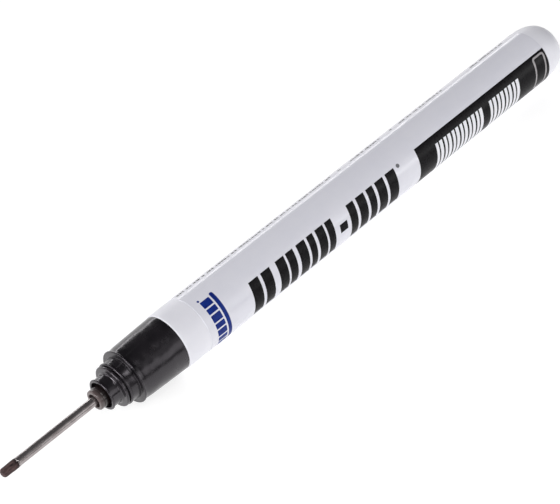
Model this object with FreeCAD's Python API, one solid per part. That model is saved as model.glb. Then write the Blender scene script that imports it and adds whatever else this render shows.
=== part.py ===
import FreeCAD, Part
import math
import os

# A fibre-tip marking pen with a long steel needle nose, lying on its side without its cap.
# +X runs along the pen from the nib to the closed rear end and +Z is up. The origin is under the
# middle of the pen, on the surface that it lies on. Millimetres.
#
# A station is a place along the pen, counted from the barrel's mouth: the nose and needle have
# negative stations, the barrel and what is inside it positive ones. An outline is a list of corners
# (station, radius) that is turned about the pen's axis. A third value in a corner rounds it.

# Driving dimensions: the whole pen
GRIP_DIAMETER = 11.7
BARREL_LENGTH = 109.15
NIB_REACH = 38.8
LABEL_THICKNESS = 0.08
WALL = 0.9
RUNNING_GAP = 0.05

# Barrel, label and reservoir
BARREL_RADIUS = GRIP_DIAMETER / 2 - LABEL_THICKNESS
BORE_RADIUS = BARREL_RADIUS - WALL
MOUTH_BEVEL = 0.28
MOUTH_STEP = 0.01
DOME_LENGTH = 6.5
DOME_DROP = 3.84
END_WALL = 1.25
BORE_END_CURVE = (3.5, 2.8)
RIB_COUNT = 6
RIB_WIDTH = 0.6
RIB_FRONT = 11.0
RIB_OVERLAP = 1.0
RIB_CLEARANCE = 0.02
STOP_DEPTH = 1.1
STOP_CLEARANCE = 0.1
LABEL_FRONT = 5.53
LABEL_REAR = 102.7
RESERVOIR_FRONT = 9.4
RESERVOIR_REAR = 98.0
RESERVOIR_RADIUS = 4.45
WRAP_THICKNESS = 0.12

# Black nose moulding
NOSE_FRONT = -12.77
BEAD_RADIUS = 4.32
BEAD_THICKNESS = 0.5
WAIST_RADIUS = 4.05
WAIST_REAR_RADIUS = 4.28
RIDGE_RADIUS = 4.38
RIDGE_LENGTH = 0.36
FLANGE_FRONT = -10.57
FLANGE_RADIUS = 5.45
FLANGE_THICKNESS = 0.42
NECK_RADIUS = 5.26
NECK_LENGTH = 0.5
CONE_FRONT = -8.67
CONE_FRONT_RADIUS = 5.38
CONE_REAR_RADIUS = 5.66
PLUG_LENGTH = 9.0
PLUG_WALL = 0.85
PLUG_SEALS = (2.4, 6.4)
SEAL_HEIGHT = 0.03
SEAL_HALF_WIDTH = 0.35
PLUG_SLOTS = 4
SLOT_WIDTH = 1.4
SLOT_DEPTH = 1.6
HUB_REAR = -3.6

# Needle holder pressed into the nose
HOLDER_FRONT = -15.97
LIP_RADIUS = 3.14
LIP_THICKNESS = 0.42
RECESS_MOUTH_RADIUS = 2.64
RECESS_FLOOR_RADIUS = 2.46
RECESS_DEPTH = 1.15
HOLDER_NECK_RADIUS = 2.94
DISC_FRONT = -13.57
DISC_RADIUS = 4.18
DISC_THICKNESS = 0.5
GROOVE_RADIUS = 3.75
SHANK_RADIUS = 2.6
SHANK_REAR = -4.6

# Collar, needle, nib and wick
COLLAR_FRONT = -17.67
COLLAR_RADIUS = 1.98
COLLAR_FLARE = 0.06
COLLAR_BORE_RADIUS = 1.36
COLLAR_BORE_DEPTH = 2.1
COLLAR_SHANK_RADIUS = 1.7
COLLAR_REAR = -12.4
TUBE_FRONT = -35.53
TUBE_REAR = -6.2
TUBE_RADIUS = 0.86
TUBE_BORE_RADIUS = 0.62
TUBE_LIP_RADIUS = 0.89
TUBE_LIP_LENGTH = 0.34
TUBE_LIP_TAPER = 0.08
NIB_RADIUS = 0.87
NIB_REAR_RADIUS = 0.91
NIB_ROUNDING = 0.68
NIB_REAR = TUBE_FRONT - RUNNING_GAP
NIB_STEM_RADIUS = 0.55
NIB_STEM_REAR = -28.2
WICK_FRONT = -28.1
WICK_RADIUS = 0.59
WICK_CLEARANCE = 0.06
WICK_REAR = 23.4
WICK_POINT = 0.8
WICK_HOLE_SPARE = 0.4

AXIS_HEIGHT = GRIP_DIAMETER / 2
MOUTH_X = (NIB_REACH - BARREL_LENGTH) / 2
AXIS_POINT = FreeCAD.Vector(0, 0, AXIS_HEIGHT)
ALONG_PEN = FreeCAD.Vector(1, 0, 0)


def place(station, radius):
    """The point of an outline at a station and a radius, straight above the pen's axis."""
    return FreeCAD.Vector(MOUTH_X + station, 0, AXIS_HEIGHT + radius)


def towards(start, end, distance):
    """The point that lies a distance from start on the way to end."""
    step = FreeCAD.Vector(end).sub(start)
    return start + step.normalize() * distance


def rounded_corner(before, corner, after, rounding):
    """One rounded corner of an outline: where it starts, where it ends, and the curve between.

    A number is the radius of a true arc. A pair gives how far a fuller curve reaches back along
    each of the corner's two sides.
    """
    if isinstance(rounding, tuple):
        start = towards(corner, before, rounding[0])
        end = towards(corner, after, rounding[1])
        curve = Part.BezierCurve()
        curve.setPoles([start, corner, end])
        return start, end, curve.toShape()
    half_angle = before.sub(corner).getAngle(after.sub(corner)) / 2
    reach = rounding / math.tan(half_angle)
    start = towards(corner, before, reach)
    end = towards(corner, after, reach)
    middle = towards(corner, (start + end) / 2, rounding / math.sin(half_angle) - rounding)
    return start, end, Part.Arc(start, middle, end).toShape()


def turned(corners):
    """The solid that a closed outline makes when it is turned about the pen's axis."""
    points = [place(corner[0], corner[1]) for corner in corners]
    starts = []
    ends = []
    curves = []
    for index, corner in enumerate(corners):
        before = points[index - 1]
        after = points[(index + 1) % len(points)]
        if len(corner) == 3:
            start, end, curve = rounded_corner(before, points[index], after, corner[2])
        else:
            start, end, curve = points[index], points[index], None
        starts.append(start)
        ends.append(end)
        curves.append(curve)
    edges = []
    for index in range(len(corners)):
        if curves[index]:
            edges.append(curves[index])
        following = starts[(index + 1) % len(corners)]
        edges.append(Part.LineSegment(ends[index], following).toShape())
    face = Part.Face(Part.Wire(edges))
    return face.revolve(AXIS_POINT, ALONG_PEN, 360)


def bar(front, rear, inner, outer, width, angle):
    """A straight bar along the pen, from an inner to an outer radius, turned to an angle."""
    corner = FreeCAD.Vector(MOUTH_X + front, -width / 2, AXIS_HEIGHT + inner)
    block = Part.makeBox(rear - front, width, outer - inner, corner)
    block.rotate(AXIS_POINT, ALONG_PEN, angle)
    return block


def barrel():
    """White tube with a closed, domed rear end, and ribs inside that hold the reservoir."""
    floor = BARREL_LENGTH - END_WALL
    rim_radius = CONE_REAR_RADIUS + MOUTH_STEP
    shell = turned([
        (0, BORE_RADIUS),
        (0, rim_radius),
        (MOUTH_BEVEL, BARREL_RADIUS),
        (BARREL_LENGTH, BARREL_RADIUS, (DOME_LENGTH, DOME_DROP)),
        (BARREL_LENGTH, 0),
        (floor, 0),
        (floor, BORE_RADIUS, BORE_END_CURVE),
    ])
    into_wall = BORE_RADIUS + WALL / 2
    rib_foot = RESERVOIR_RADIUS + WRAP_THICKNESS + RIB_CLEARANCE
    stop_foot = BORE_RADIUS - STOP_DEPTH
    rib_rear = RESERVOIR_REAR + RIB_OVERLAP
    stop_front = RESERVOIR_REAR + STOP_CLEARANCE
    stop_rear = floor - RIB_OVERLAP
    ribs = []
    for number in range(RIB_COUNT):
        angle = 360 / RIB_COUNT * (number + 0.5)
        ribs.append(bar(RIB_FRONT, rib_rear, rib_foot, into_wall, RIB_WIDTH, angle))
        ribs.append(bar(stop_front, stop_rear, stop_foot, into_wall, RIB_WIDTH, angle))
    return shell.fuse(ribs).removeSplitter()


def barrel_label():
    """Printed film wrapped round the straight part of the barrel."""
    outer = BARREL_RADIUS + LABEL_THICKNESS
    return turned([
        (LABEL_FRONT, BARREL_RADIUS),
        (LABEL_FRONT, outer),
        (LABEL_REAR, outer),
        (LABEL_REAR, BARREL_RADIUS),
    ])


def nose_housing():
    """Black nose: a bead and a waist, a thin flange, a gentle cone and the plug in the barrel."""
    plug_radius = BORE_RADIUS - RUNNING_GAP - SEAL_HEIGHT
    plug_bore = plug_radius - PLUG_WALL
    bead_rear = NOSE_FRONT + BEAD_THICKNESS
    ridge_front = FLANGE_FRONT - RIDGE_LENGTH
    neck_front = FLANGE_FRONT + FLANGE_THICKNESS
    outline = [
        (NOSE_FRONT, SHANK_RADIUS),
        (NOSE_FRONT, BEAD_RADIUS, 0.3),
        (bead_rear, BEAD_RADIUS, 0.12),
        (bead_rear, WAIST_RADIUS, 0.1),
        (ridge_front, WAIST_REAR_RADIUS),
        (ridge_front, RIDGE_RADIUS),
        (FLANGE_FRONT, RIDGE_RADIUS, 0.1),
        (FLANGE_FRONT, FLANGE_RADIUS, 0.12),
        (neck_front, FLANGE_RADIUS, 0.12),
        (neck_front, NECK_RADIUS),
        (neck_front + NECK_LENGTH, NECK_RADIUS, 0.3),
        (CONE_FRONT, CONE_FRONT_RADIUS),
        (0, CONE_REAR_RADIUS),
        (0, plug_radius),
    ]
    for seal in PLUG_SEALS:
        outline.append((seal - SEAL_HALF_WIDTH, plug_radius))
        outline.append((seal, plug_radius + SEAL_HEIGHT))
        outline.append((seal + SEAL_HALF_WIDTH, plug_radius))
    outline += [
        (PLUG_LENGTH, plug_radius, 0.3),
        (PLUG_LENGTH, plug_bore),
        (HUB_REAR, plug_bore, 0.6),
        (HUB_REAR, SHANK_RADIUS),
    ]
    housing = turned(outline)
    slots = []
    for number in range(PLUG_SLOTS):
        angle = 360 / PLUG_SLOTS * number
        front = PLUG_LENGTH - SLOT_DEPTH
        slots.append(bar(front, PLUG_LENGTH + 1, plug_bore - 1, BORE_RADIUS + 1, SLOT_WIDTH, angle))
    return housing.cut(slots)


def needle_holder():
    """Black stepped insert: a recessed lip, a neck and a disc, on a shank pressed into the nose."""
    lip_rear = HOLDER_FRONT + LIP_THICKNESS
    recess_floor = HOLDER_FRONT + RECESS_DEPTH
    disc_rear = DISC_FRONT + DISC_THICKNESS
    return turned([
        (recess_floor, COLLAR_SHANK_RADIUS),
        (recess_floor, RECESS_FLOOR_RADIUS),
        (HOLDER_FRONT, RECESS_MOUTH_RADIUS, 0.08),
        (HOLDER_FRONT, LIP_RADIUS, 0.12),
        (lip_rear, LIP_RADIUS, 0.12),
        (lip_rear, HOLDER_NECK_RADIUS),
        (DISC_FRONT, HOLDER_NECK_RADIUS, 0.4),
        (DISC_FRONT, DISC_RADIUS, 0.12),
        (disc_rear, DISC_RADIUS, 0.12),
        (disc_rear, GROOVE_RADIUS),
        (NOSE_FRONT, GROOVE_RADIUS),
        (NOSE_FRONT, SHANK_RADIUS),
        (SHANK_REAR, SHANK_RADIUS, 0.3),
        (SHANK_REAR, WICK_RADIUS + WICK_CLEARANCE),
        (TUBE_REAR, WICK_RADIUS + WICK_CLEARANCE),
        (TUBE_REAR, TUBE_RADIUS),
        (COLLAR_REAR, TUBE_RADIUS),
        (COLLAR_REAR, COLLAR_SHANK_RADIUS),
    ])


def needle_collar():
    """Brown sleeve round the root of the needle, with an open cup at its front."""
    cup_floor = COLLAR_FRONT + COLLAR_BORE_DEPTH
    seat = HOLDER_FRONT + RECESS_DEPTH
    return turned([
        (COLLAR_FRONT, COLLAR_BORE_RADIUS, 0.12),
        (COLLAR_FRONT, COLLAR_RADIUS, 0.22),
        (seat, COLLAR_RADIUS + COLLAR_FLARE),
        (seat, COLLAR_SHANK_RADIUS),
        (COLLAR_REAR, COLLAR_SHANK_RADIUS),
        (COLLAR_REAR, TUBE_RADIUS),
        (cup_floor, TUBE_RADIUS),
        (cup_floor, COLLAR_BORE_RADIUS, 0.2),
    ])


def needle_tube():
    """Stainless tube that carries the nib, with a rolled lip at its front."""
    lip_rear = TUBE_FRONT + TUBE_LIP_LENGTH
    return turned([
        (TUBE_FRONT, TUBE_BORE_RADIUS),
        (TUBE_FRONT, TUBE_LIP_RADIUS, 0.08),
        (lip_rear, TUBE_LIP_RADIUS),
        (lip_rear + TUBE_LIP_TAPER, TUBE_RADIUS),
        (TUBE_REAR, TUBE_RADIUS),
        (TUBE_REAR, TUBE_BORE_RADIUS),
    ])


def nib():
    """Fibre nib: a bullet-shaped head in front of the tube and a thin stem inside it."""
    return turned([
        (-NIB_REACH, 0),
        (-NIB_REACH, NIB_RADIUS, (NIB_ROUNDING, NIB_ROUNDING)),
        (NIB_REAR, NIB_REAR_RADIUS, 0.06),
        (NIB_REAR, NIB_STEM_RADIUS),
        (NIB_STEM_REAR, NIB_STEM_RADIUS),
        (NIB_STEM_REAR, 0),
    ])


def feed_wick():
    """Fibre rod that draws ink from the reservoir up to the nib's stem."""
    return turned([
        (WICK_FRONT, 0),
        (WICK_FRONT, WICK_RADIUS),
        (WICK_REAR - WICK_POINT, WICK_RADIUS),
        (WICK_REAR, WICK_RADIUS / 2),
        (WICK_REAR, 0),
    ])


def ink_reservoir():
    """Fibre bundle that holds the ink, with a blind hole for the wick."""
    hole_radius = WICK_RADIUS + RUNNING_GAP
    hole_end = WICK_REAR + WICK_HOLE_SPARE
    return turned([
        (RESERVOIR_FRONT, hole_radius),
        (RESERVOIR_FRONT, RESERVOIR_RADIUS),
        (RESERVOIR_REAR, RESERVOIR_RADIUS),
        (RESERVOIR_REAR, 0),
        (hole_end, 0),
        (hole_end, hole_radius),
    ])


def reservoir_wrap():
    """Plastic film sleeve round the fibre bundle, open at both ends."""
    outer = RESERVOIR_RADIUS + WRAP_THICKNESS
    return turned([
        (RESERVOIR_FRONT, RESERVOIR_RADIUS),
        (RESERVOIR_FRONT, outer),
        (RESERVOIR_REAR, outer),
        (RESERVOIR_REAR, RESERVOIR_RADIUS),
    ])


PIECES = [
    barrel,
    barrel_label,
    nose_housing,
    needle_holder,
    needle_collar,
    needle_tube,
    nib,
    feed_wick,
    ink_reservoir,
    reservoir_wrap,
]

os.makedirs("parts", exist_ok=True)
for piece in PIECES:
    solid = piece()
    solid.exportStep("parts/" + piece.__name__ + ".step")
    box = solid.BoundBox
    print(f"{piece.__name__:16s} valid {solid.isValid()} solids {len(solid.Solids)}"
          f" volume {solid.Volume:9.2f} x {box.XMin:.2f} to {box.XMax:.2f}")
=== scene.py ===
import math
import random
import bmesh
import bpy
from mathutils import Matrix, Vector, geometry, noise


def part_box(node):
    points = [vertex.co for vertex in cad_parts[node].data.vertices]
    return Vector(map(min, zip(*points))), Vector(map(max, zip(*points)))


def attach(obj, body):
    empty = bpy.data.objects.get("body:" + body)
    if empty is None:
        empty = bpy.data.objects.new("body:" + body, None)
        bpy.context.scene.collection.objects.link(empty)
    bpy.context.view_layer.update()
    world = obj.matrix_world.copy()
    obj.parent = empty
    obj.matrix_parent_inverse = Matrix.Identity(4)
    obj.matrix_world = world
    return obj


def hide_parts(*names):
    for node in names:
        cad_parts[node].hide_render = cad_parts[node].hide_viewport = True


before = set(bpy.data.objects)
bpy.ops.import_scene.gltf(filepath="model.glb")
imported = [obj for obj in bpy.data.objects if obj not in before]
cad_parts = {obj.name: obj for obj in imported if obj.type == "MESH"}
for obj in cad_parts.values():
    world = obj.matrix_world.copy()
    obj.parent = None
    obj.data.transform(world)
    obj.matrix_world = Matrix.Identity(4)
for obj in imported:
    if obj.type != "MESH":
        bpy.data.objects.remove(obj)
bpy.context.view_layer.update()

# The pen lies along X with its nib towards -X. Sizes here are millimetres; MM makes them metres
# where a mesh is made. A station is a place along the pen, counted from the barrel's mouth, and an
# angle goes round the pen's axis from straight up (0) towards -Y (90).
MM = 0.001
MM_PER_METRE = 1000
MICRON = 1e-6
SAME_POINT = 1e-8  # metres; closer corners are merged
ON_AXIS = 1e-6  # a smaller radius is a point on the axis
SAME_WALL = 0.01  # a radius this close to a wall's is on that wall
SHARP_ANGLE = math.radians(32)
WHITE = (1, 1, 1)


# ---------------------------------------------------------------- places taken from the frame

def span(node):
    """First and last station and outer radius of a CAD node, in millimetres."""
    low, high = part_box(node)
    return low.x / MM - MOUTH_X, high.x / MM - MOUTH_X, (high.z - low.z) / 2 / MM


MOUTH_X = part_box("barrel")[0].x / MM
AXIS_HEIGHT = sum(corner.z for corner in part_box("barrel")) / 2 / MM
_, BARREL_REAR, BARREL_RADIUS = span("barrel")
LABEL_FRONT, LABEL_REAR, LABEL_RADIUS = span("barrel_label")
NOSE_FRONT, PLUG_REAR, CONE_REAR_RADIUS = span("nose_housing")
HOLDER_FRONT, HOLDER_REAR, DISC_RADIUS = span("needle_holder")
COLLAR_FRONT, COLLAR_REAR, COLLAR_REAR_RADIUS = span("needle_collar")
TUBE_FRONT, TUBE_REAR, TUBE_LIP_RADIUS = span("needle_tube")
NIB_FRONT, NIB_STEM_REAR, NIB_REAR_RADIUS = span("nib")
WICK_FRONT, WICK_REAR, WICK_RADIUS = span("feed_wick")
RESERVOIR_FRONT, RESERVOIR_REAR, RESERVOIR_RADIUS = span("ink_reservoir")
WRAP_RADIUS = span("reservoir_wrap")[2]

# Barrel. DOME is how far its rear end's rounding reaches along the pen and across it, and
# DOME_INSIDE how far the rounding at the bore's floor reaches across the pen and along it
WALL = 0.9
BORE_RADIUS = BARREL_RADIUS - WALL
DOME = (6.5, 3.84)
DOME_INSIDE = (3.5, 2.8)
END_WALL = 1.25
BORE_FLOOR = BARREL_REAR - END_WALL
RIB_COUNT = 6
RIB_WIDTH = 0.6
RIB_FRONT = 11.0
RIB_REAR = BORE_FLOOR - 3
RIB_CLEARANCE = 0.02

# Nose, with its plug inside the barrel
CONE_FRONT = -8.67
CONE_FRONT_RADIUS = 5.38
FLANGE_FRONT = -10.57
FLANGE_REAR = FLANGE_FRONT + 0.42
FLANGE_RADIUS = 5.45
NECK_RADIUS = 5.26
SHANK_RADIUS = 2.6
SHANK_BORE_REAR = -3.6
PLUG_RADIUS = BORE_RADIUS - 0.08
PLUG_BORE = PLUG_RADIUS - 0.85
SLOT_COUNT = 4
SLOT_WIDTH = 1.4
SLOT_DEPTH = 1.6
SLOT_REACH = 0.4  # corners this close to the plug's rear end move forward in a slot
PARTING_LINES = 2
PARTING_LINE_WIDTH = 0.02
PARTING_LINE_HEIGHT = 0.05

# Needle and nib
DISC_FRONT = -13.57
COLLAR_SEAT = HOLDER_FRONT + 1.15
COLLAR_SHANK_RADIUS = 1.7
TUBE_RADIUS = 0.86
TUBE_BORE_RADIUS = 0.62
NIB_STEM_RADIUS = 0.55
NIB_REAR = TUBE_FRONT - 0.05


# ---------------------------------------------------------------- turned shapes

def towards(start, end, distance):
    return start + (end - start).normalized() * distance


def rounded_corner(before, corner, after, rounding, steps):
    """Points of one rounded corner: an arc for a radius, a fuller curve for a pair of reaches."""
    if isinstance(rounding, tuple):
        start = towards(corner, before, rounding[0])
        end = towards(corner, after, rounding[1])
        shares = [step / steps for step in range(steps + 1)]
        return [start * (1 - t) ** 2 + corner * 2 * t * (1 - t) + end * t ** 2 for t in shares]
    half_angle = (before - corner).angle(after - corner) / 2
    start = towards(corner, before, rounding / math.tan(half_angle))
    end = towards(corner, after, rounding / math.tan(half_angle))
    centre = towards(corner, (start + end) / 2, rounding / math.sin(half_angle))
    sweep = (end - centre).angle_signed(start - centre)
    points = []
    for step in range(steps + 1):
        turn = Matrix.Rotation(sweep * step / steps, 2)
        points.append(centre + turn @ (start - centre))
    return points


def outline_points(corners, steps):
    """Stations and radii along a closed outline, with its rounded corners as short steps."""
    places = [Vector((corner[0], corner[1])) for corner in corners]
    points = []
    for index, corner in enumerate(corners):
        if len(corner) == 3:
            before = places[index - 1]
            after = places[(index + 1) % len(places)]
            points += rounded_corner(before, places[index], after, corner[2], steps)
        else:
            points.append(places[index])
    return points


def on_pen(station, radius, angle):
    """The place in the frame, in metres, of a station, a radius and an angle round the axis."""
    side = -radius * math.sin(angle)
    up = AXIS_HEIGHT + radius * math.cos(angle)
    return Vector((MOUTH_X + station, side, up)) * MM


def finish_mesh(name, verts, faces, material):
    """A mesh object with shared corners merged, outward faces, and soft and sharp edges marked."""
    mesh = bpy.data.meshes.new(name)
    mesh.from_pydata(verts, [], faces)
    work = bmesh.new()
    work.from_mesh(mesh)
    bmesh.ops.remove_doubles(work, verts=work.verts, dist=SAME_POINT)
    bmesh.ops.recalc_face_normals(work, faces=work.faces)
    for face in work.faces:
        face.smooth = True
    for edge in work.edges:
        edge.smooth = len(edge.link_faces) == 2 and edge.calc_face_angle() < SHARP_ANGLE
    work.to_mesh(mesh)
    work.free()
    mesh.materials.append(material)
    piece = bpy.data.objects.new(name, mesh)
    bpy.context.scene.collection.objects.link(piece)
    weighted = piece.modifiers.new("even_shading", "WEIGHTED_NORMAL")
    weighted.mode = "FACE_AREA"
    weighted.keep_sharp = True
    return piece


def turned(name, corners, material, segments=144, steps=6, detail=None):
    """A closed outline turned about the pen's axis.

    detail(station, radius, angle) may move a point a little, for ribs, slots and mould lines.
    """
    points = outline_points(corners, steps)
    verts = []
    rings = []
    for station, radius in points:
        ring = []
        for step in range(segments if radius > ON_AXIS else 1):
            angle = 2 * math.pi * step / segments
            place = detail(station, radius, angle) if detail else (station, radius)
            ring.append(len(verts))
            verts.append(on_pen(place[0], place[1], angle))
        rings.append(ring)
    faces = []
    for index, ring in enumerate(rings):
        other = rings[(index + 1) % len(rings)]
        if len(ring) == 1 and len(other) == 1:
            continue
        for step in range(segments):
            following = (step + 1) % segments
            corner_loop = [ring[step % len(ring)], ring[following % len(ring)]]
            corner_loop += [other[following % len(other)], other[step % len(other)]]
            faces.append(list(dict.fromkeys(corner_loop)))
    return finish_mesh(name, verts, faces, material)


def add_piece(piece, body, slot, *nodes):
    """The piece rides on a body and stands for CAD nodes, which it hides. The slot is not used."""
    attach(piece, body)
    if nodes:
        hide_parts(*nodes)
    return piece


def near_spoke(angle, count, offset, half_width, radius):
    """Whether an angle is within half a width of one of several evenly spaced spokes."""
    spacing = 2 * math.pi / count
    away = (angle - offset + spacing / 2) % spacing - spacing / 2
    return abs(away) * radius <= half_width


# ---------------------------------------------------------------- materials

# Nearly all of a noise's values lie between these two
NOISE_LOW = 0.3
NOISE_HIGH = 0.7


def new_material(name):
    """A node material and its shader."""
    material = bpy.data.materials.new(name)
    material.use_nodes = True
    nodes = material.node_tree.nodes
    nodes.clear()
    output = nodes.new("ShaderNodeOutputMaterial")
    shader = nodes.new("ShaderNodeBsdfPrincipled")
    material.node_tree.links.new(shader.outputs["BSDF"], output.inputs["Surface"])
    return material, shader


def add_node(material, kind, inputs=None, **settings):
    """A node with its settings and inputs. An input is a value, or another node's output."""
    node = material.node_tree.nodes.new(kind)
    for key, value in settings.items():
        setattr(node, key, value)
    for key, value in (inputs or {}).items():
        if isinstance(value, bpy.types.NodeSocket):
            material.node_tree.links.new(value, node.inputs[key])
        else:
            node.inputs[key].default_value = value
    return node


def stretched(material, scale):
    """The object's coordinates, in millimetres, scaled along X, Y and Z."""
    coords = add_node(material, "ShaderNodeTexCoord")
    mapping = add_node(material, "ShaderNodeMapping", {"Vector": coords.outputs["Object"]})
    mapping.inputs["Scale"].default_value = [MM_PER_METRE * share for share in scale]
    return mapping.outputs["Vector"]


def noise_between(material, vector, scale, low=0, high=1, detail=4.0):
    """A noise that runs smoothly between two values. The scale is about spots per millimetre."""
    pattern = {"Vector": vector, "Scale": scale, "Detail": detail}
    grain = add_node(material, "ShaderNodeTexNoise", pattern)
    limits = {
        "Value": grain.outputs["Fac"],
        "From Min": NOISE_LOW, "From Max": NOISE_HIGH,
        "To Min": low, "To Max": high,
    }
    return add_node(material, "ShaderNodeMapRange", limits).outputs["Result"]


def bumped(material, shader, *layers):
    """Bump from one or more layers of (heights, depth in micrometres), linked to the normal."""
    normal = None
    for heights, depth in layers:
        relief = {"Height": heights, "Strength": 1.0, "Distance": depth * MICRON}
        bump = add_node(material, "ShaderNodeBump", relief)
        if normal:
            material.node_tree.links.new(normal, bump.inputs["Normal"])
        normal = bump.outputs["Normal"]
    material.node_tree.links.new(normal, shader.inputs["Normal"])


def varied_colour(material, shader, share, first, second):
    """A base colour that runs between two colours as share goes from 0 to 1."""
    mix = add_node(material, "ShaderNodeMix", data_type="RGBA")
    material.node_tree.links.new(share, mix.inputs["Factor"])
    mix.inputs["A"].default_value = (*first, 1)
    mix.inputs["B"].default_value = (*second, 1)
    material.node_tree.links.new(mix.outputs["Result"], shader.inputs["Base Color"])


def moulded_plastic(name, first, second, roughness, waves, skin=1.0, ior=1.5, tint=WHITE):
    """Moulded plastic: faint cloudy colour, uneven gloss, a slightly wavy surface and a fine skin.

    The colour runs between first and second, and the roughness between its two values. The depths
    of the waves and of the skin are micrometres. The tint colours the reflections.
    """
    material, shader = new_material(name)
    shader.inputs["IOR"].default_value = ior
    shader.inputs["Specular Tint"].default_value = (*tint, 1)
    even = stretched(material, (1, 1, 1))
    clouds = noise_between(material, even, 0.3, detail=2.0)
    varied_colour(material, shader, clouds, first, second)
    gloss = noise_between(material, even, 0.5, *roughness, detail=3.0)
    material.node_tree.links.new(gloss, shader.inputs["Roughness"])
    swells = noise_between(material, stretched(material, (1, 0.7, 0.7)), 0.33, detail=1.0)
    grain = noise_between(material, even, 3.5)
    bumped(material, shader, (swells, waves), (grain, skin))
    return material


def drawn_steel(name, clean, stained, roughness=(0.12, 0.28)):
    """Drawn stainless tube: lengthwise lines, stained darker in streaks, with a streaky gloss."""
    material, shader = new_material(name)
    shader.inputs["Metallic"].default_value = 0.88
    along = stretched(material, (0.05, 2.2, 2.2))
    even = stretched(material, (1, 1, 1))
    stain = noise_between(material, even, 0.5)
    lines = noise_between(material, stretched(material, (0.012, 1, 1)), 2.6, detail=2.0)
    streaks = add_node(material, "ShaderNodeMath", {0: stain, 1: lines}, operation="MULTIPLY")
    varied_colour(material, shader, streaks.outputs["Value"], clean, stained)
    gloss = noise_between(material, along, 6.0, *roughness, detail=5.0)
    material.node_tree.links.new(gloss, shader.inputs["Roughness"])
    scratches = noise_between(material, along, 4.0, detail=3.0)
    bumped(material, shader, (lines, 9.0), (scratches, 2.5))
    return material


def bonded_fibre(name, first, second):
    """Bonded fibre: lengthwise strands with pores between them."""
    material, shader = new_material(name)
    shader.inputs["Roughness"].default_value = 0.75
    shader.inputs["Specular IOR Level"].default_value = 0.3
    shader.inputs["Sheen Weight"].default_value = 0.06
    shader.inputs["Sheen Roughness"].default_value = 0.5
    along = stretched(material, (0.55, 1.6, 1.6))
    even = stretched(material, (1, 1, 1))
    streaks = noise_between(material, along, 2.2, detail=6.0)
    varied_colour(material, shader, streaks, first, second)
    strands = noise_between(material, along, 9.0)
    pores = add_node(material, "ShaderNodeTexVoronoi", {"Vector": even, "Scale": 11.0})
    joined = {0: strands, 1: pores.outputs["Distance"]}
    heights = add_node(material, "ShaderNodeMath", joined, operation="ADD").outputs["Value"]
    bumped(material, shader, (heights, 14.0))
    return material


def printed_ink(name, first, second, roughness=(0.3, 0.42), shine=0.25):
    """A thin printed ink: slightly uneven cover and a soft gloss."""
    material, shader = new_material(name)
    shader.inputs["Specular IOR Level"].default_value = shine
    even = stretched(material, (1, 1, 1))
    cover = noise_between(material, even, 1.1, detail=6.0)
    varied_colour(material, shader, cover, first, second)
    gloss = noise_between(material, even, 2.0, *roughness)
    material.node_tree.links.new(gloss, shader.inputs["Roughness"])
    grain = noise_between(material, even, 4.0, detail=3.0)
    bumped(material, shader, (grain, 0.8))
    return material


def paint_shade_along(material, start, end, dark):
    """Paint shade into a material's base colour: it runs into a dark one between two stations
    along the pen.
    """
    shader = material.node_tree.nodes["Principled BSDF"]
    coords = add_node(material, "ShaderNodeTexCoord")
    place = add_node(material, "ShaderNodeSeparateXYZ", {"Vector": coords.outputs["Object"]})
    limits = {
        "From Min": (MOUTH_X + start) * MM,
        "From Max": (MOUTH_X + end) * MM,
        "Value": place.outputs["X"],
    }
    share = add_node(material, "ShaderNodeMapRange", limits).outputs["Result"]
    mix = add_node(material, "ShaderNodeMix", data_type="RGBA")
    material.node_tree.links.new(share, mix.inputs["Factor"])
    material.node_tree.links.new(shader.inputs["Base Color"].links[0].from_socket, mix.inputs["A"])
    mix.inputs["B"].default_value = (*dark, 1)
    material.node_tree.links.new(mix.outputs["Result"], shader.inputs["Base Color"])


# Colours are linear. The tint takes a little green out of the reflections on the black parts
NOSE_TINT = (1.0, 0.94, 1.02)
WHITE_PLASTIC = moulded_plastic(
    "white_barrel_plastic", (0.86, 0.856, 0.912), (0.83, 0.826, 0.887),
    roughness=(0.38, 0.48), waves=12.0)
LABEL_FILM = moulded_plastic(
    "label_film", (0.80, 0.797, 0.862), (0.776, 0.774, 0.845),
    roughness=(0.15, 0.21), waves=8.0, skin=0.3)
BLACK_PLASTIC = moulded_plastic(
    "black_nose_plastic", (0.005, 0.0045, 0.0055), (0.013, 0.0115, 0.0135),
    roughness=(0.16, 0.30), waves=75.0, skin=0.3, ior=1.58, tint=NOSE_TINT)
HOLDER_PLASTIC = moulded_plastic(
    "black_holder_plastic", (0.008, 0.0075, 0.009), (0.014, 0.0125, 0.0145),
    roughness=(0.15, 0.24), waves=12.0, skin=0.3, ior=1.62, tint=NOSE_TINT)
BROWN_PLASTIC = moulded_plastic(
    "brown_collar_plastic", (0.137, 0.103, 0.102), (0.078, 0.057, 0.056),
    roughness=(0.14, 0.26), waves=12.0, ior=1.6)
WRAP_FILM = moulded_plastic(
    "wrap_film", (0.66, 0.68, 0.72), (0.60, 0.62, 0.66),
    roughness=(0.12, 0.22), waves=10.0)
STEEL = drawn_steel("drawn_steel", (0.43, 0.395, 0.395), (0.255, 0.22, 0.215))
NIB_FIBRE = bonded_fibre("nib_fibre", (0.004, 0.001, 0.002), (0.125, 0.075, 0.073))
WICK_FIBRE = bonded_fibre("wick_fibre", (0.12, 0.08, 0.09), (0.30, 0.24, 0.26))
RESERVOIR_FIBRE = bonded_fibre("reservoir_fibre", (0.16, 0.12, 0.14), (0.36, 0.31, 0.33))
BLACK_INK = printed_ink(
    "black_ink", (0.0035, 0.003, 0.004), (0.008, 0.007, 0.0085),
    roughness=(0.24, 0.34), shine=0.09)
BLUE_INK = printed_ink("blue_ink", (0.006, 0.018, 0.165), (0.009, 0.034, 0.250), shine=0.12)
WHITE_INK = printed_ink("white_ink", (0.90, 0.90, 0.94), (0.86, 0.86, 0.91))
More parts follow.
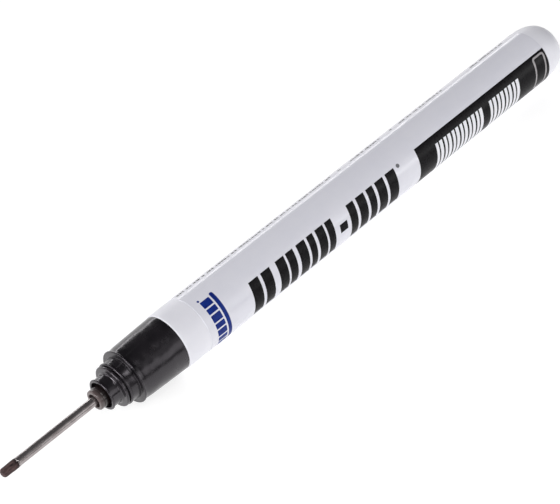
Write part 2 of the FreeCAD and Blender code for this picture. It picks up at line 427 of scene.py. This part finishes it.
GREY_INK = printed_ink("grey_ink", (0.12, 0.12, 0.13), (0.17, 0.17, 0.185))
OUTLINE_INK = printed_ink("outline_ink", (0.34, 0.32, 0.33), (0.42, 0.40, 0.41))
FINE_INK = printed_ink("fine_ink", (0.010, 0.010, 0.012), (0.030, 0.030, 0.033))

# Painted shade: the collar's brown runs dark where it goes into the holder's recess
paint_shade_along(BROWN_PLASTIC, COLLAR_FRONT + 0.3, COLLAR_FRONT + 1.3, (0.012, 0.008, 0.008))
# Painted shade: the nib's fibre runs dark at its joint with the tube
paint_shade_along(NIB_FIBRE, NIB_REAR - 0.7, NIB_REAR, (0.010, 0.003, 0.004))


# ---------------------------------------------------------------- barrel

def barrel_ribs(station, radius, angle):
    """Ribs along the bore that hold the reservoir."""
    in_bore = abs(radius - BORE_RADIUS) < SAME_WALL
    if in_bore and RIB_FRONT < station < RIB_REAR:
        if near_spoke(angle, RIB_COUNT, math.pi / RIB_COUNT, RIB_WIDTH / 2, BORE_RADIUS):
            return station, WRAP_RADIUS + RIB_CLEARANCE
    return station, radius


def make_barrel():
    """White moulded tube: bevelled mouth, ribbed bore, domed rear end with a sunk gate mark."""
    bevel_rear = 0.28
    chamfer_rear = 0.4
    chamfer_radius = BORE_RADIUS + 0.12
    rib_end_rear = RIB_FRONT + 0.3
    gate_floor = BARREL_REAR - 0.10
    corners = [
        (0, chamfer_radius),
        (0, CONE_REAR_RADIUS + 0.01, 0.02),
        (bevel_rear, BARREL_RADIUS, 0.12),
        (LABEL_FRONT, BARREL_RADIUS),
        (LABEL_REAR, BARREL_RADIUS),
        (BARREL_REAR, BARREL_RADIUS, DOME),
        (BARREL_REAR, 0.75),
        (gate_floor, 0.62, 0.04),
        (gate_floor, 0),
        (BORE_FLOOR, 0),
        (BORE_FLOOR, BORE_RADIUS, DOME_INSIDE),
        (rib_end_rear, BORE_RADIUS),
        (RIB_FRONT, BORE_RADIUS),
        (chamfer_rear, BORE_RADIUS),
    ]
    piece = turned("barrel_shell", corners, WHITE_PLASTIC, steps=14, detail=barrel_ribs)
    add_piece(piece, "barrel_body", "barrel_white", "barrel")


# The film is a little thinner than its CAD node, which leaves room for the overlap and the ink
FILM_RADIUS = LABEL_RADIUS - 0.022
FILM_SEAM_ANGLE = math.radians(232)
FILM_OVERLAP = math.radians(16)
FILM_LIFT = 0.018


def film_overlap(station, radius, angle):
    """The film's end lies over its start along one line on the far side."""
    past_seam = (angle - FILM_SEAM_ANGLE) % (2 * math.pi)
    if radius > BARREL_RADIUS + SAME_WALL and past_seam < FILM_OVERLAP:
        return station, radius + FILM_LIFT
    return station, radius


def make_label():
    """Thin film wrapped round the straight part of the barrel."""
    corners = [
        (LABEL_FRONT, BARREL_RADIUS),
        (LABEL_FRONT, FILM_RADIUS, 0.008),
        (LABEL_REAR, FILM_RADIUS, 0.008),
        (LABEL_REAR, BARREL_RADIUS),
    ]
    piece = turned("label_film_wrap", corners, LABEL_FILM, steps=2, detail=film_overlap)
    add_piece(piece, "barrel_body", "label_film", "barrel_label")


# ---------------------------------------------------------------- printed marks on the label

# Prints are drawn flat and cut into strips this wide, so that they bend round the label
PRINT_STRIP = 0.25
PRINT_CUT_TOLERANCE = 1e-5


def wrapped_print(name, shapes, ink, low, high):
    """Flat shapes, given as (station, distance round from the top), wrapped on the label as ink.

    Each is a closed thin layer between the radii low and high. A shape is a list of loops: its
    outer edge, then any holes in it.
    """
    flat = bmesh.new()
    for shape in shapes:
        outlines = [[Vector((x, y, 0)) for x, y in loop] for loop in shape]
        verts = [flat.verts.new(corner) for outline in outlines for corner in outline]
        for triangle in geometry.tessellate_polygon(outlines):
            flat.faces.new([verts[index] for index in triangle])
    lowest = min(vert.co.y for vert in flat.verts)
    highest = max(vert.co.y for vert in flat.verts)
    line = math.ceil(lowest / PRINT_STRIP) * PRINT_STRIP
    while line < highest:
        everything = list(flat.verts) + list(flat.edges) + list(flat.faces)
        bmesh.ops.bisect_plane(
            flat, geom=everything, dist=PRINT_CUT_TOLERANCE,
            plane_co=(0, line, 0), plane_no=(0, 1, 0))
        line += PRINT_STRIP
    bmesh.ops.recalc_face_normals(flat, faces=flat.faces)
    flat.verts.index_update()
    count = len(flat.verts)
    verts = [on_pen(v.co.x, high, v.co.y / LABEL_RADIUS) for v in flat.verts]
    verts += [on_pen(v.co.x, low, v.co.y / LABEL_RADIUS) for v in flat.verts]
    faces = []
    for face in flat.faces:
        top = [vert.index for vert in face.verts]
        faces.append(top)
        faces.append([index + count for index in reversed(top)])
    for edge in flat.edges:
        if len(edge.link_faces) == 1:
            first, second = (vert.index for vert in edge.verts)
            faces.append([first, second, second + count, first + count])
    flat.free()
    piece = finish_mesh(name, verts, faces, ink)
    add_piece(piece, "barrel_body", "label_film")


def slanted_bar(front, width, top, bottom, lean):
    """A bar across the pen that leans back towards the nib as it goes down."""
    rear = front + width
    return [(front, top), (rear, top), (rear - lean, bottom), (front - lean, bottom)]


def rounded_loop(corners, rounding, steps=5):
    """A flat loop with every corner rounded."""
    rounded = [(x, y, rounding) for x, y in corners]
    return [(point.x, point.y) for point in outline_points(rounded, steps)]


# Inner and outer radius of an ink layer: sunk a little into the film, or over another ink
INK = (FILM_RADIUS - 0.006, FILM_RADIUS + 0.007)
INK_OVER_PANEL = (FILM_RADIUS, FILM_RADIUS + 0.014)

# A row of slanted bars is (top, bottom, lean), and a bar is (front station, width). The dash is
# (front station, width, top, bottom, lean), and a dot is (station, distance round, radius)
BOLD_ROW = (3.78, 10.9, 0.75)
BOLD_BARS = (
    (17.1, 2.4), (20.2, 2.3), (24.0, 2.2), (26.7, 1.9), (29.5, 2.2), (32.3, 1.6), (34.6, 2.1),
    (37.2, 1.7), (43.2, 1.9), (45.8, 2.2), (48.7, 1.8), (51.2, 2.3), (54.2, 2.5),
)
DASH = (40.0, 2.0, 6.1, 7.8, 0.2)
SMALL_DOT = (57.85, 4.0, 0.42)


def slanted_row(bars, row):
    """Flat shapes for a row of full-height slanted bars."""
    top, bottom, lean = row
    return [[slanted_bar(front, width, top, bottom, lean)] for front, width in bars]


def round_loop(station, around, radius, steps=16):
    """A flat disc's edge."""
    turns = [2 * math.pi * step / steps for step in range(steps)]
    return [(station + radius * math.cos(turn), around + radius * math.sin(turn))
            for turn in turns]


def make_bold_row():
    """Bold slanted bars with a dash between them and a small grey dot behind."""
    shapes = slanted_row(BOLD_BARS, BOLD_ROW) + [[slanted_bar(*DASH)]]
    wrapped_print("print_bold_bars", shapes, BLACK_INK, *INK)
    wrapped_print("print_small_dot", [[round_loop(*SMALL_DOT)]], GREY_INK, *INK)


PANEL_FRONT = 63.0
PANEL_TOP = 3.5
PANEL_BOTTOM = 13.4
PANEL_LEAN = 0.9
PANEL_ROW = (5.3, 11.9, 0.7)
PANEL_PITCH = 2.42
PANEL_GROUPS = ((67.9, 6), (84.2, 4))  # a group is (front station, pairs of bars)
PANEL_PAIR = ((0, 0.72), (1.1, 0.85))  # a bar of a pair is (distance behind its front, width)
LOZENGE_OUTSIDE = ((98.8, 4.0), (102.3, 4.0), (101.4, 11.2), (97.9, 11.2))
LOZENGE_INSIDE = ((99.2, 4.4), (101.85, 4.4), (101.0, 10.8), (98.35, 10.8))


def make_panel():
    """Black panel over the rear of the label, with white slanted bars and an outlined lozenge."""
    rear = LABEL_REAR - 0.02
    panel = [(PANEL_FRONT, PANEL_TOP), (rear, PANEL_TOP), (rear, PANEL_BOTTOM),
             (PANEL_FRONT - PANEL_LEAN, PANEL_BOTTOM)]
    wrapped_print("print_panel", [[panel]], BLACK_INK, *INK)
    bars = []
    for group_front, count in PANEL_GROUPS:
        for number in range(count):
            front = group_front + number * PANEL_PITCH
            bars += [(front + behind, width) for behind, width in PANEL_PAIR]
    wrapped_print("print_panel_bars", slanted_row(bars, PANEL_ROW), WHITE_INK, *INK_OVER_PANEL)
    lozenge = [rounded_loop(LOZENGE_OUTSIDE, 0.6), rounded_loop(LOZENGE_INSIDE, 0.3)]
    wrapped_print("print_panel_outline", [lozenge], OUTLINE_INK, *INK_OVER_PANEL)


BLUE_FRONT = 7.15
BLUE_REAR = 9.35
BLUE_TOP = 1.2
BLUE_HEIGHTS = (1.45, 1.1, 1.45, 1.1, 1.45, 1.1, 1.45)
BLUE_GAP = 0.3
BLUE_DOT = (7.2, 0.75, 0.24)
BLUE_LINE = (9.72, 10.55, 0.75)  # front and rear station, and top


def make_blue_mark():
    """A band of blue blocks round the barrel, with a dot in front and a line behind them."""
    shapes = [[round_loop(*BLUE_DOT)]]
    top = BLUE_TOP
    for height in BLUE_HEIGHTS:
        bottom = top + height
        block = [(BLUE_FRONT, top), (BLUE_REAR, top), (BLUE_REAR, bottom), (BLUE_FRONT, bottom)]
        shapes.append([rounded_loop(block, 0.12)])
        top += height + BLUE_GAP
    front, rear, line_top = BLUE_LINE
    line = [(front, line_top), (rear, line_top), (rear, top), (front, top)]
    shapes.append([rounded_loop(line, 0.35)])
    wrapped_print("print_blue_mark", shapes, BLUE_INK, *INK)


# Fine line: its tallest dash, the distance round of the dashes' lower edge, the stretches of
# stations that have dashes, and what the dashes' sizes and gaps are drawn from
FINE_LINE_HEIGHT = 0.72
FINE_LINE_FOOT = -4.45 + FINE_LINE_HEIGHT
FINE_STRETCHES = (
    (6.2, 46.8), (49.0, 49.7), (52.5, 61.5), (64.0, 64.6), (66.7, 79.5), (88.5, 98.5),
)
FINE_LENGTHS = (0.25, 0.8)
FINE_SHORTEST = 0.15
FINE_HEIGHT_SHARES = (0.55, 1.0)
FINE_GAPS = (0.18, 0.22, 0.6)
FINE_SEED = 11


def make_fine_line():
    """A row of very small grey dashes along the top of the label."""
    chance = random.Random(FINE_SEED)
    shapes = []
    for station, end in FINE_STRETCHES:
        while station < end:
            length = min(chance.uniform(*FINE_LENGTHS), end - station)
            height = FINE_LINE_HEIGHT * chance.uniform(*FINE_HEIGHT_SHARES)
            if length > FINE_SHORTEST:
                head = FINE_LINE_FOOT - height
                shapes.append([slanted_bar(station, length, head, FINE_LINE_FOOT, 0)])
            station += length + chance.choice(FINE_GAPS)
    wrapped_print("print_fine_line", shapes, FINE_INK, *INK)


# ---------------------------------------------------------------- nose and needle

def nose_details(station, radius, angle):
    """Two mould parting lines along the outside, and air slots in the plug's rear end."""
    outside = station < -0.02 and radius > SHANK_RADIUS + 0.5
    if outside and near_spoke(angle, PARTING_LINES, 0, PARTING_LINE_WIDTH / 2, radius):
        return station, radius + PARTING_LINE_HEIGHT
    at_rear_end = station > PLUG_REAR - SLOT_REACH
    if at_rear_end and near_spoke(angle, SLOT_COUNT, 0, SLOT_WIDTH / 2, radius):
        return PLUG_REAR - SLOT_DEPTH, radius
    return station, radius


def make_nose():
    """Black nose moulding: bead, waist, flange, cone and the plug that sits in the barrel."""
    bead_rear = NOSE_FRONT + 0.5
    bead_radius = 4.32
    ridge_front = FLANGE_FRONT - 0.36
    ridge_radius = 4.38
    slot_foot = PLUG_REAR - SLOT_DEPTH - 0.2
    corners = [
        (NOSE_FRONT, SHANK_RADIUS),
        (NOSE_FRONT, bead_radius, 0.27),
        (bead_rear, bead_radius, 0.2),
        (bead_rear, 4.05, 0.1),
        (ridge_front, 4.28),
        (ridge_front, ridge_radius, 0.03),
        (FLANGE_FRONT, ridge_radius, 0.1),
        (FLANGE_FRONT, FLANGE_RADIUS, 0.16),
        (FLANGE_REAR, FLANGE_RADIUS, 0.2),
        (FLANGE_REAR, NECK_RADIUS, 0.05),
        (FLANGE_REAR + 0.5, NECK_RADIUS, 0.4),
        (CONE_FRONT, CONE_FRONT_RADIUS),
        (0, CONE_REAR_RADIUS, 0.05),
        (0, PLUG_RADIUS),
    ]
    for seal in (2.4, 6.4):
        corners.append((seal - 0.35, PLUG_RADIUS))
        corners.append((seal, PLUG_RADIUS + 0.03, 0.5))
        corners.append((seal + 0.35, PLUG_RADIUS))
    corners += [
        (slot_foot, PLUG_RADIUS),
        (PLUG_REAR, PLUG_RADIUS, 0.15),
        (PLUG_REAR, PLUG_BORE),
        (slot_foot, PLUG_BORE),
        (SHANK_BORE_REAR, PLUG_BORE, 0.6),
        (SHANK_BORE_REAR, SHANK_RADIUS),
    ]
    piece = turned("nose_moulding", corners, BLACK_PLASTIC, segments=192, detail=nose_details)
    add_piece(piece, "front_unit", "nose_black", "nose_housing")


def make_holder():
    """Black stepped insert: recessed lip, neck and disc, on its shank."""
    lip_rear = HOLDER_FRONT + 0.42
    lip_radius = 3.14
    neck_radius = 2.94
    disc_rear = DISC_FRONT + 0.5
    groove_radius = 3.75
    wick_bore = WICK_RADIUS + 0.06
    corners = [
        (COLLAR_SEAT, COLLAR_SHANK_RADIUS),
        (COLLAR_SEAT, 2.46, 0.15),
        (HOLDER_FRONT, 2.64, 0.1),
        (HOLDER_FRONT, lip_radius, 0.2),
        (lip_rear, lip_radius, 0.18),
        (lip_rear, neck_radius, 0.04),
        (DISC_FRONT, neck_radius, 0.45),
        (DISC_FRONT, DISC_RADIUS, 0.24),
        (disc_rear, DISC_RADIUS, 0.2),
        (disc_rear, groove_radius),
        (NOSE_FRONT, groove_radius),
        (NOSE_FRONT, SHANK_RADIUS),
        (HOLDER_REAR, SHANK_RADIUS, 0.3),
        (HOLDER_REAR, wick_bore),
        (TUBE_REAR, wick_bore),
        (TUBE_REAR, TUBE_RADIUS),
        (COLLAR_REAR, TUBE_RADIUS),
        (COLLAR_REAR, COLLAR_SHANK_RADIUS),
    ]
    piece = turned("needle_holder_insert", corners, HOLDER_PLASTIC, segments=160)
    add_piece(piece, "front_unit", "holder_black", "needle_holder")


def make_collar():
    """Dark brown sleeve with an open cup at its front."""
    cup_floor = COLLAR_FRONT + 2.1
    cup_radius = 1.36
    corners = [
        (COLLAR_FRONT, cup_radius, 0.12),
        (COLLAR_FRONT, 1.98, 0.24),
        (COLLAR_FRONT + 0.85, 2.0, 0.5),
        (COLLAR_FRONT + 0.95, 1.95, 0.1),
        (COLLAR_FRONT + 1.1, 2.01, 0.5),
        (COLLAR_SEAT, COLLAR_REAR_RADIUS),
        (COLLAR_SEAT, COLLAR_SHANK_RADIUS),
        (COLLAR_REAR, COLLAR_SHANK_RADIUS),
        (COLLAR_REAR, TUBE_RADIUS),
        (cup_floor, TUBE_RADIUS),
        (cup_floor, cup_radius, 0.2),
    ]
    piece = turned("brown_collar", corners, BROWN_PLASTIC, segments=128)
    add_piece(piece, "front_unit", "collar_brown", "needle_collar")


def make_tube():
    """Steel needle tube with a rolled lip behind the nib."""
    lip_rear = TUBE_FRONT + 0.34
    corners = [
        (TUBE_FRONT, TUBE_BORE_RADIUS, 0.03),
        (TUBE_FRONT, TUBE_LIP_RADIUS, 0.16),
        (lip_rear, TUBE_LIP_RADIUS, 0.1),
        (lip_rear + 0.08, TUBE_RADIUS, 0.2),
        (TUBE_REAR, TUBE_RADIUS),
        (TUBE_REAR, TUBE_BORE_RADIUS),
    ]
    piece = turned("steel_needle", corners, STEEL, segments=96)
    add_piece(piece, "front_unit", "needle_steel", "needle_tube")


# Unevenness of the fibre pieces: how quickly it changes along and round, and its share of the
# radius. A noise value less FIBRE_SINK is nearly always below 0, so that the surface stays inside
FIBRE_ALONG = 1.3
FIBRE_AROUND = 2.4
FIBRE_SHARE = 0.012
FIBRE_SINK = 0.6
FIBRE_SMOOTH_RADIUS = 0.2


def fibre_surface(station, radius, angle):
    """Slight unevenness of a fibre piece, within its nominal radius."""
    if radius < FIBRE_SMOOTH_RADIUS:
        return station, radius
    across = math.cos(angle) * FIBRE_AROUND
    up = math.sin(angle) * FIBRE_AROUND
    uneven = FIBRE_SHARE * (noise.noise(Vector((station * FIBRE_ALONG, across, up))) - FIBRE_SINK)
    return station, radius * (1 + uneven)


def make_nib():
    """Dark fibre nib: bullet head, slightly wider towards the tube, and a stem inside it."""
    corners = [
        (NIB_FRONT, 0),
        (NIB_FRONT, 0.87, (0.68, 0.68)),
        (NIB_FRONT + 1.2, 0.875),
        (NIB_FRONT + 1.8, 0.885),
        (NIB_FRONT + 2.3, 0.9),
        (NIB_REAR, NIB_REAR_RADIUS, 0.05),
        (NIB_REAR, NIB_STEM_RADIUS),
        (NIB_STEM_REAR, NIB_STEM_RADIUS),
        (NIB_STEM_REAR, 0),
    ]
    piece = turned("fibre_nib", corners, NIB_FIBRE, segments=80, steps=12, detail=fibre_surface)
    add_piece(piece, "nib", "nib_fibre", "nib")


# ---------------------------------------------------------------- inside the barrel

def make_wick():
    """Fibre rod from the needle into the reservoir, tapered at its rear end."""
    corners = [
        (WICK_FRONT, 0),
        (WICK_FRONT, WICK_RADIUS, 0.05),
        (WICK_REAR - 0.8, WICK_RADIUS, 0.3),
        (WICK_REAR, WICK_RADIUS / 2, 0.1),
        (WICK_REAR, 0),
    ]
    piece = turned("fibre_wick", corners, WICK_FIBRE, segments=48, detail=fibre_surface)
    add_piece(piece, "front_unit", "wick_fibre", "feed_wick")


def make_reservoir():
    """Fibre bundle with a hole for the wick, in its film sleeve."""
    hole_radius = WICK_RADIUS + 0.05
    hole_end = WICK_REAR + 0.4
    corners = [
        (RESERVOIR_FRONT, hole_radius, 0.05),
        (RESERVOIR_FRONT, RESERVOIR_RADIUS, 0.2),
        (RESERVOIR_REAR, RESERVOIR_RADIUS, 0.2),
        (RESERVOIR_REAR, 0),
        (hole_end, 0),
        (hole_end, hole_radius),
    ]
    piece = turned("fibre_reservoir", corners, RESERVOIR_FIBRE, segments=96)
    add_piece(piece, "barrel_body", "reservoir_fibre", "ink_reservoir")
    sleeve = [
        (RESERVOIR_FRONT, RESERVOIR_RADIUS),
        (RESERVOIR_FRONT, WRAP_RADIUS, 0.03),
        (RESERVOIR_REAR, WRAP_RADIUS, 0.03),
        (RESERVOIR_REAR, RESERVOIR_RADIUS),
    ]
    piece = turned("reservoir_sleeve", sleeve, WRAP_FILM, segments=96, steps=3)
    add_piece(piece, "barrel_body", "wrap_film", "reservoir_wrap")


# ---------------------------------------------------------------- camera, floor and lights

# Azimuths and elevations are degrees. An azimuth turns from straight in front (-Y) towards +X
VIEW_AZIMUTH = -46.65
VIEW_ELEVATION = 48.49
VIEW_DISTANCE = 343.1
VIEW_TARGET = Vector((-5.75, 0.22, AXIS_HEIGHT + 0.1))
SENSOR = 36.0
LENS = 118.93
CLIP_NEAR, CLIP_FAR = 0.01, 20.0  # metres


def backwards(azimuth, elevation):
    """Direction from the pen back to a viewer at an azimuth and an elevation."""
    azimuth = math.radians(azimuth)
    elevation = math.radians(elevation)
    level = math.cos(elevation)
    return Vector((math.sin(azimuth) * level, -math.cos(azimuth) * level, math.sin(elevation)))


def put_looking(name, data, place, back):
    """A camera or a light at a place in metres, that looks along the opposite of back."""
    thing = bpy.data.objects.new(name, data)
    bpy.context.scene.collection.objects.link(thing)
    thing.location = place
    thing.rotation_mode = "QUATERNION"
    thing.rotation_quaternion = (-back).to_track_quat("-Z", "Y")
    return thing


def make_camera():
    """Camera at the photo's viewpoint."""
    data = bpy.data.cameras.new("camera")
    data.sensor_width = SENSOR
    data.lens = LENS
    data.clip_start = CLIP_NEAR
    data.clip_end = CLIP_FAR
    back = backwards(VIEW_AZIMUTH, VIEW_ELEVATION)
    place = (VIEW_TARGET + back * VIEW_DISTANCE) * MM
    bpy.context.scene.camera = put_looking("camera", data, place, back)


FLOOR_REACH = 8.0  # metres
FLOOR_GLOW = 0.77


def make_floor():
    """Plain floor, self-lit to white so that the pen's shadow stays faint."""
    material, shader = new_material("white_floor")
    clouds = noise_between(material, stretched(material, (1, 1, 1)), 0.02)
    varied_colour(material, shader, clouds, (0.40, 0.40, 0.40), (0.37, 0.37, 0.37))
    shader.inputs["Roughness"].default_value = 0.75
    shader.inputs["Emission Color"].default_value = (*WHITE, 1)
    shader.inputs["Emission Strength"].default_value = FLOOR_GLOW
    mesh = bpy.data.meshes.new("floor")
    corners = ((-1, -1), (1, -1), (1, 1), (-1, 1))
    verts = [(FLOOR_REACH * x, FLOOR_REACH * y, 0) for x, y in corners]
    mesh.from_pydata(verts, [], [(0, 1, 2, 3)])
    mesh.materials.append(material)
    floor = bpy.data.objects.new("floor", mesh)
    bpy.context.scene.collection.objects.link(floor)


# Rectangular soft lights that face the pen: azimuth and elevation in degrees, distance in metres,
# width and height in metres, and power in watts
SOFTBOXES = {
    "key_softbox": (-100, 30, 0.9, (0.5, 0.3), 5.6),
    "overhead_softbox": (-15, 70, 0.9, (0.3, 0.3), 1.25),
    "front_card": (30, 24, 1.0, (0.6, 0.45), 1.04),
    "low_card": (50, 12, 1.0, (0.6, 0.3), 1.7),
    "upper_card": (34, 45, 1.0, (0.35, 0.35), 0.15),
    "fill_card": (-20, 25, 1.1, (0.8, 0.5), 2.2),
    "nib_side_softbox": (-150, 25, 1.1, (0.8, 0.5), 2.43),
    "back_strip": (150, 5, 1.2, (1.0, 0.14), 2.2),
}
ROOM_COLOUR = (0.93, 0.94, 1.0)
ROOM_STRENGTH = 0.056


def make_lights():
    """The soft lights, and a dim, slightly blue room round them."""
    for name, (azimuth, elevation, distance, size, power) in SOFTBOXES.items():
        data = bpy.data.lights.new(name, "AREA")
        data.shape = "RECTANGLE"
        data.size, data.size_y = size
        data.energy = power
        back = backwards(azimuth, elevation)
        put_looking(name, data, back * distance, back)
    world = bpy.data.worlds.new("room")
    bpy.context.scene.world = world
    world.use_nodes = True
    background = world.node_tree.nodes["Background"]
    background.inputs["Color"].default_value = (*ROOM_COLOUR, 1)
    background.inputs["Strength"].default_value = ROOM_STRENGTH
    bpy.context.scene.view_settings.view_transform = "Standard"


make_camera()
make_floor()
make_lights()
make_barrel()
make_label()
make_bold_row()
make_panel()
make_blue_mark()
make_fine_line()
make_nose()
make_holder()
make_collar()
make_tube()
make_nib()
make_wick()
make_reservoir()
